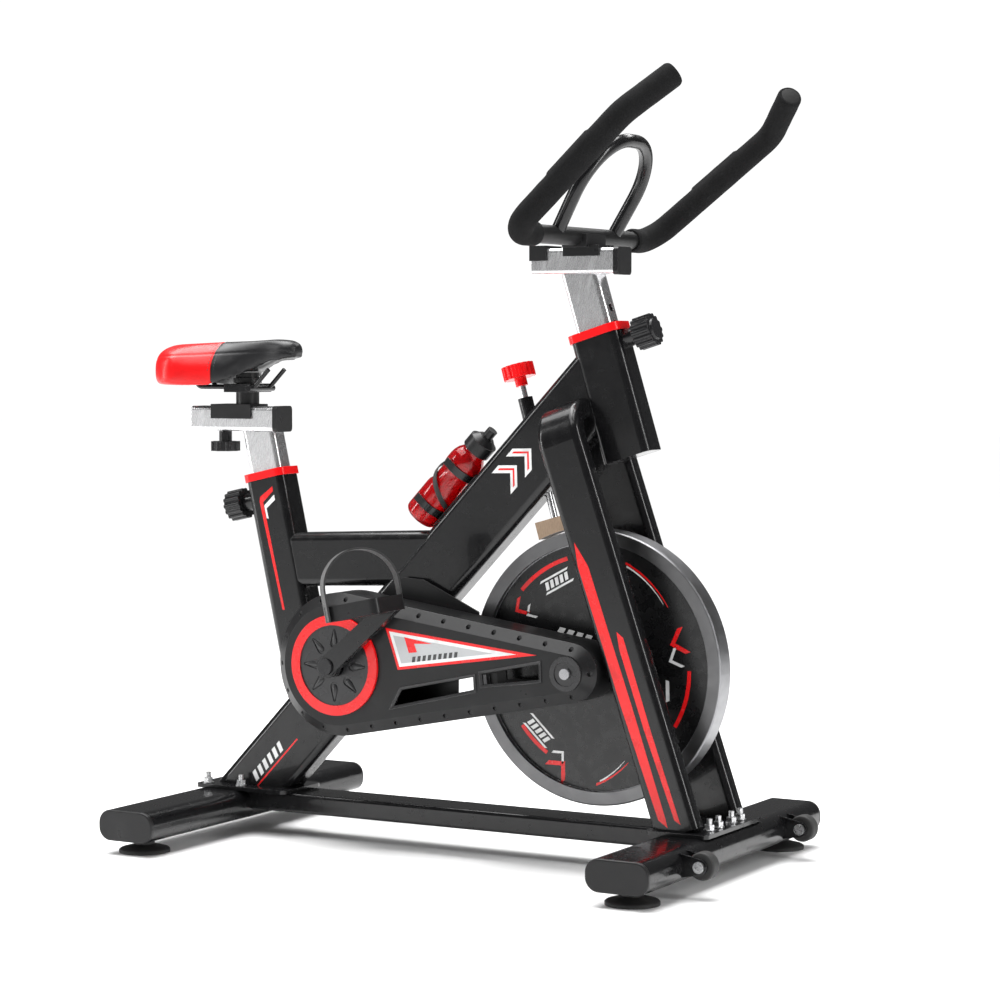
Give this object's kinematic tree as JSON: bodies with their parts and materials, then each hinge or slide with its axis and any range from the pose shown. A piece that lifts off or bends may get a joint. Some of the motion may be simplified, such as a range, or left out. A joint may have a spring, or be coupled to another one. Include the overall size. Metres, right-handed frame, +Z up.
{
  "type": "indoor spin bike",
  "caption": "Indoor spin bike with a weighted belt-driven flywheel, adjustable saddle and handlebar posts, toe-strap pedals, screw brake, bottle cage and transport wheels.",
  "frame": {"origin": "middle of the bike's bounding box, on the floor", "axes": "+X forward towards the handlebar, +Y to the rider's left, +Z up"},
  "size_m": [1.029, 0.588, 1.1306],
  "materials": {
    "black_paint": "gloss",
    "zinc_steel": "satin",
    "black_oxide": "blackened steel",
    "black_plastic": "semi gloss",
    "red_plastic": "gloss",
    "rubber": "matte",
    "satin_chrome": "satin",
    "cast_iron": "painted web, ground rim",
    "alloy": "turned",
    "foam": "closed-cell foam",
    "felt": "felt",
    "saddle_cover": "black and red vinyl",
    "red_bottle": "translucent"
  },
  "bodies": {
    "frame": {"stabilisers": "black_paint", "stabiliser_caps": "black_plastic", "base_beam": "black_paint", "mount_plates": "black_paint", "frame_bolts": "zinc_steel", "wheel_brackets": "black_paint", "head_tube": "black_paint", "main_tube": "black_paint", "seat_tube": "black_paint", "top_tube": "black_paint", "tube_collars": "red_plastic", "threaded_bosses": "black_paint", "fork_leg_right": "black_paint", "fork_leg_left": "black_paint", "dropout_plates": "black_paint", "bearings": "zinc_steel", "cover_shell": "black_plastic", "cover_back": "black_plastic", "cover_trim": "black_plastic", "cover_screws": "black_oxide", "drive_belt": "rubber", "bottle_cage": "black_paint"},
    "crankset": {"crank_axle": "black_oxide", "drive_pulley": "alloy", "crank_arms": "black_paint", "pedal_axles": "zinc_steel"},
    "pedal_right": {"pedal_right": "black_plastic", "toe_strap_right": "rubber"},
    "pedal_left": {"pedal_left": "black_plastic", "toe_strap_left": "rubber"},
    "flywheel": {"flywheel": "cast_iron", "flywheel_axle": "zinc_steel", "driven_pulley": "alloy"},
    "seat_post": {"seat_post": "satin_chrome", "seat_head": "satin_chrome", "seat_head_plug": "black_plastic"},
    "seat_slider": {"seat_slider": "black_plastic", "saddle_rails": "black_paint", "saddle": "saddle_cover"},
    "slider_knob": {"slider_knob": "black_plastic"},
    "seat_pin": {"seat_pin_knob": "black_plastic"},
    "handlebar": {"handlebar_post": "satin_chrome", "handlebar_head": "satin_chrome", "handlebar_head_plug": "black_plastic", "handlebar_brackets": "black_plastic", "handlebar_bar": "black_paint", "handlebar_grips": "foam", "aero_loop": "black_paint"},
    "handlebar_pin": {"handlebar_pin_knob": "black_plastic"},
    "brake_rod": {"tension_rod": "satin_chrome", "brake_pad": "felt"},
    "tension_knob": {"tension_knob": "red_plastic"},
    "bottle": {"bottle": "red_bottle", "bottle_cap": "black_plastic"},
    "wheel_right": {"transport_wheel_right": "rubber"},
    "wheel_left": {"transport_wheel_left": "rubber"},
    "foot_1": {"levelling_foot_1": "rubber"},
    "foot_2": {"levelling_foot_2": "rubber"},
    "foot_3": {"levelling_foot_3": "rubber"},
    "foot_4": {"levelling_foot_4": "rubber"}
  },
  "joints": [
    {"name": "seat_height", "type": "slide", "parent": "frame", "child": "seat_post", "axis": [-0.2164, 0, 0.9763], "range_m": [-0.03, 0.09]},
    {"name": "saddle_fore_aft", "type": "slide", "parent": "seat_post", "child": "seat_slider", "axis": [1, 0, 0], "range_m": [-0.03, 0.018]},
    {"name": "slider_knob_turn", "type": "hinge", "parent": "seat_slider", "child": "slider_knob", "pos_m": [-0.403, 0, 0.6], "axis": [0, 0, 1], "range_deg": [-180, 180]},
    {"name": "seat_pin_pull", "type": "slide", "parent": "frame", "child": "seat_pin", "axis": [-0.9763, 0, -0.2164], "range_m": [0, 0.012], "stiffness_N_per_m": 600, "springref_m": -0.01},
    {"name": "handlebar_height", "type": "slide", "parent": "frame", "child": "handlebar", "axis": [-0.2924, 0, 0.9563], "range_m": [-0.03, 0.09]},
    {"name": "handlebar_pin_pull", "type": "slide", "parent": "frame", "child": "handlebar_pin", "axis": [0.9563, 0, 0.2924], "range_m": [0, 0.012], "stiffness_N_per_m": 600, "springref_m": -0.01},
    {"name": "flywheel_spin", "type": "hinge", "parent": "frame", "child": "flywheel", "pos_m": [0.254, 0, 0.288], "axis": [0, 1, 0], "continuous": true},
    {"name": "crank_spin", "type": "hinge", "parent": "frame", "child": "crankset", "pos_m": [-0.134, 0, 0.279], "axis": [0, 1, 0], "continuous": true},
    {"name": "pedal_right_spin", "type": "hinge", "parent": "crankset", "child": "pedal_right", "pos_m": [-0.02028, -0.205, 0.37682], "axis": [0, 1, 0], "continuous": true},
    {"name": "pedal_left_spin", "type": "hinge", "parent": "crankset", "child": "pedal_left", "pos_m": [-0.24772, 0.205, 0.18119], "axis": [0, 1, 0], "continuous": true},
    {"name": "brake_push", "type": "slide", "parent": "frame", "child": "brake_rod", "axis": [0.2723, 0, -0.9622], "range_m": [0, 0.003], "stiffness_N_per_m": 2500, "springref_m": -0.006},
    {"name": "tension_turn", "type": "hinge", "parent": "brake_rod", "child": "tension_knob", "pos_m": [0.1166, 0, 0.725], "axis": [-0.2723, 0, 0.9622], "range_deg": [-360, 360]},
    {"name": "bottle_lift", "type": "slide", "parent": "frame", "child": "bottle", "axis": [-0.7254, 0, 0.6884], "range_m": [0, 0.07]},
    {"name": "wheel_right_spin", "type": "hinge", "parent": "frame", "child": "wheel_right", "pos_m": [0.5025, -0.172, 0.047], "axis": [0, 1, 0], "continuous": true},
    {"name": "wheel_left_spin", "type": "hinge", "parent": "frame", "child": "wheel_left", "pos_m": [0.5025, 0.172, 0.047], "axis": [0, 1, 0], "continuous": true},
    {"name": "foot_1_turn", "type": "hinge", "parent": "frame", "child": "foot_1", "pos_m": [-0.3825, -0.245, 0], "axis": [0, 0, 1], "range_deg": [-360, 360]},
    {"name": "foot_2_turn", "type": "hinge", "parent": "frame", "child": "foot_2", "pos_m": [-0.3825, 0.245, 0], "axis": [0, 0, 1], "range_deg": [-360, 360]},
    {"name": "foot_3_turn", "type": "hinge", "parent": "frame", "child": "foot_3", "pos_m": [0.4305, -0.245, 0], "axis": [0, 0, 1], "range_deg": [-360, 360]},
    {"name": "foot_4_turn", "type": "hinge", "parent": "frame", "child": "foot_4", "pos_m": [0.4305, 0.245, 0], "axis": [0, 0, 1], "range_deg": [-360, 360]}
  ],
  "couplings": [
    {"joint": "crank_spin", "follows": "flywheel_spin", "ratio": 0.32}
  ]
}
